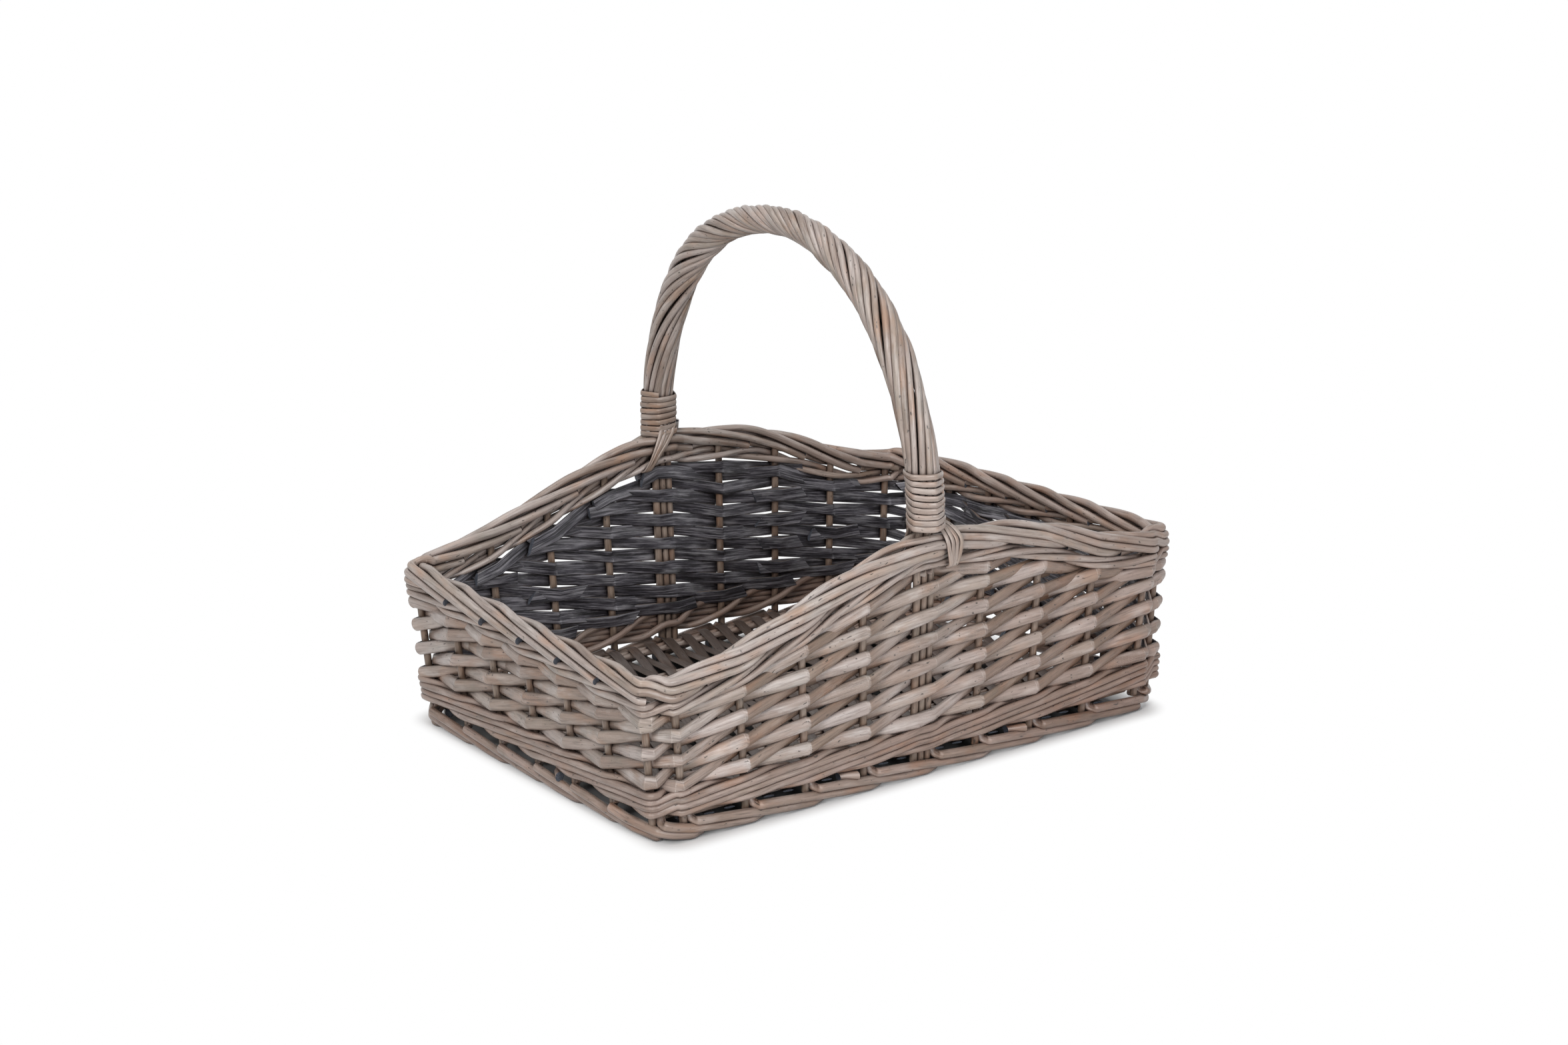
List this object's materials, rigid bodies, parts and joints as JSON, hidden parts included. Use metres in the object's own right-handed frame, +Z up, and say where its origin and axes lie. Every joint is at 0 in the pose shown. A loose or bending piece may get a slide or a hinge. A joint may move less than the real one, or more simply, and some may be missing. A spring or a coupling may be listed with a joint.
{
  "type": "trug garden basket",
  "caption": "Oblong willow garden basket with a woven wall, rolled border, open foot and a roped bow handle from side to side.",
  "frame": {"origin": "centre of the basket's outline at the ground, under the foot", "axes": "+X along the long sides, +Y to the back long side, +Z up"},
  "size_m": [0.4487, 0.3352, 0.3706],
  "materials": {
    "bark_willow": "satin",
    "split_willow": "matte",
    "white_willow": "matte",
    "skein_willow": "satin"
  },
  "bodies": {
    "root": {"base_sticks": "white_willow", "base_slats": "split_willow", "side_stakes_front": "bark_willow", "side_stakes_right": "bark_willow", "side_stakes_back": "bark_willow", "side_stakes_left": "bark_willow", "foot_front": "bark_willow", "foot_right": "bark_willow", "foot_back": "bark_willow", "foot_left": "bark_willow", "lower_wale_front": "bark_willow", "lower_wale_right": "bark_willow", "lower_wale_back": "bark_willow", "lower_wale_left": "bark_willow", "weave_front": "split_willow", "weave_right": "split_willow", "weave_back": "split_willow", "weave_left": "split_willow", "upper_wale_front": "bark_willow", "upper_wale_right": "bark_willow", "upper_wale_back": "bark_willow", "upper_wale_left": "bark_willow", "border_front": "bark_willow", "border_right": "bark_willow", "border_back": "bark_willow", "border_left": "bark_willow", "handle_bow": "bark_willow", "handle_rope": "bark_willow", "handle_binding_front": "skein_willow", "handle_binding_back": "skein_willow", "handle_tie_front": "skein_willow", "handle_tie_back": "skein_willow"}
  },
  "joints": []
}
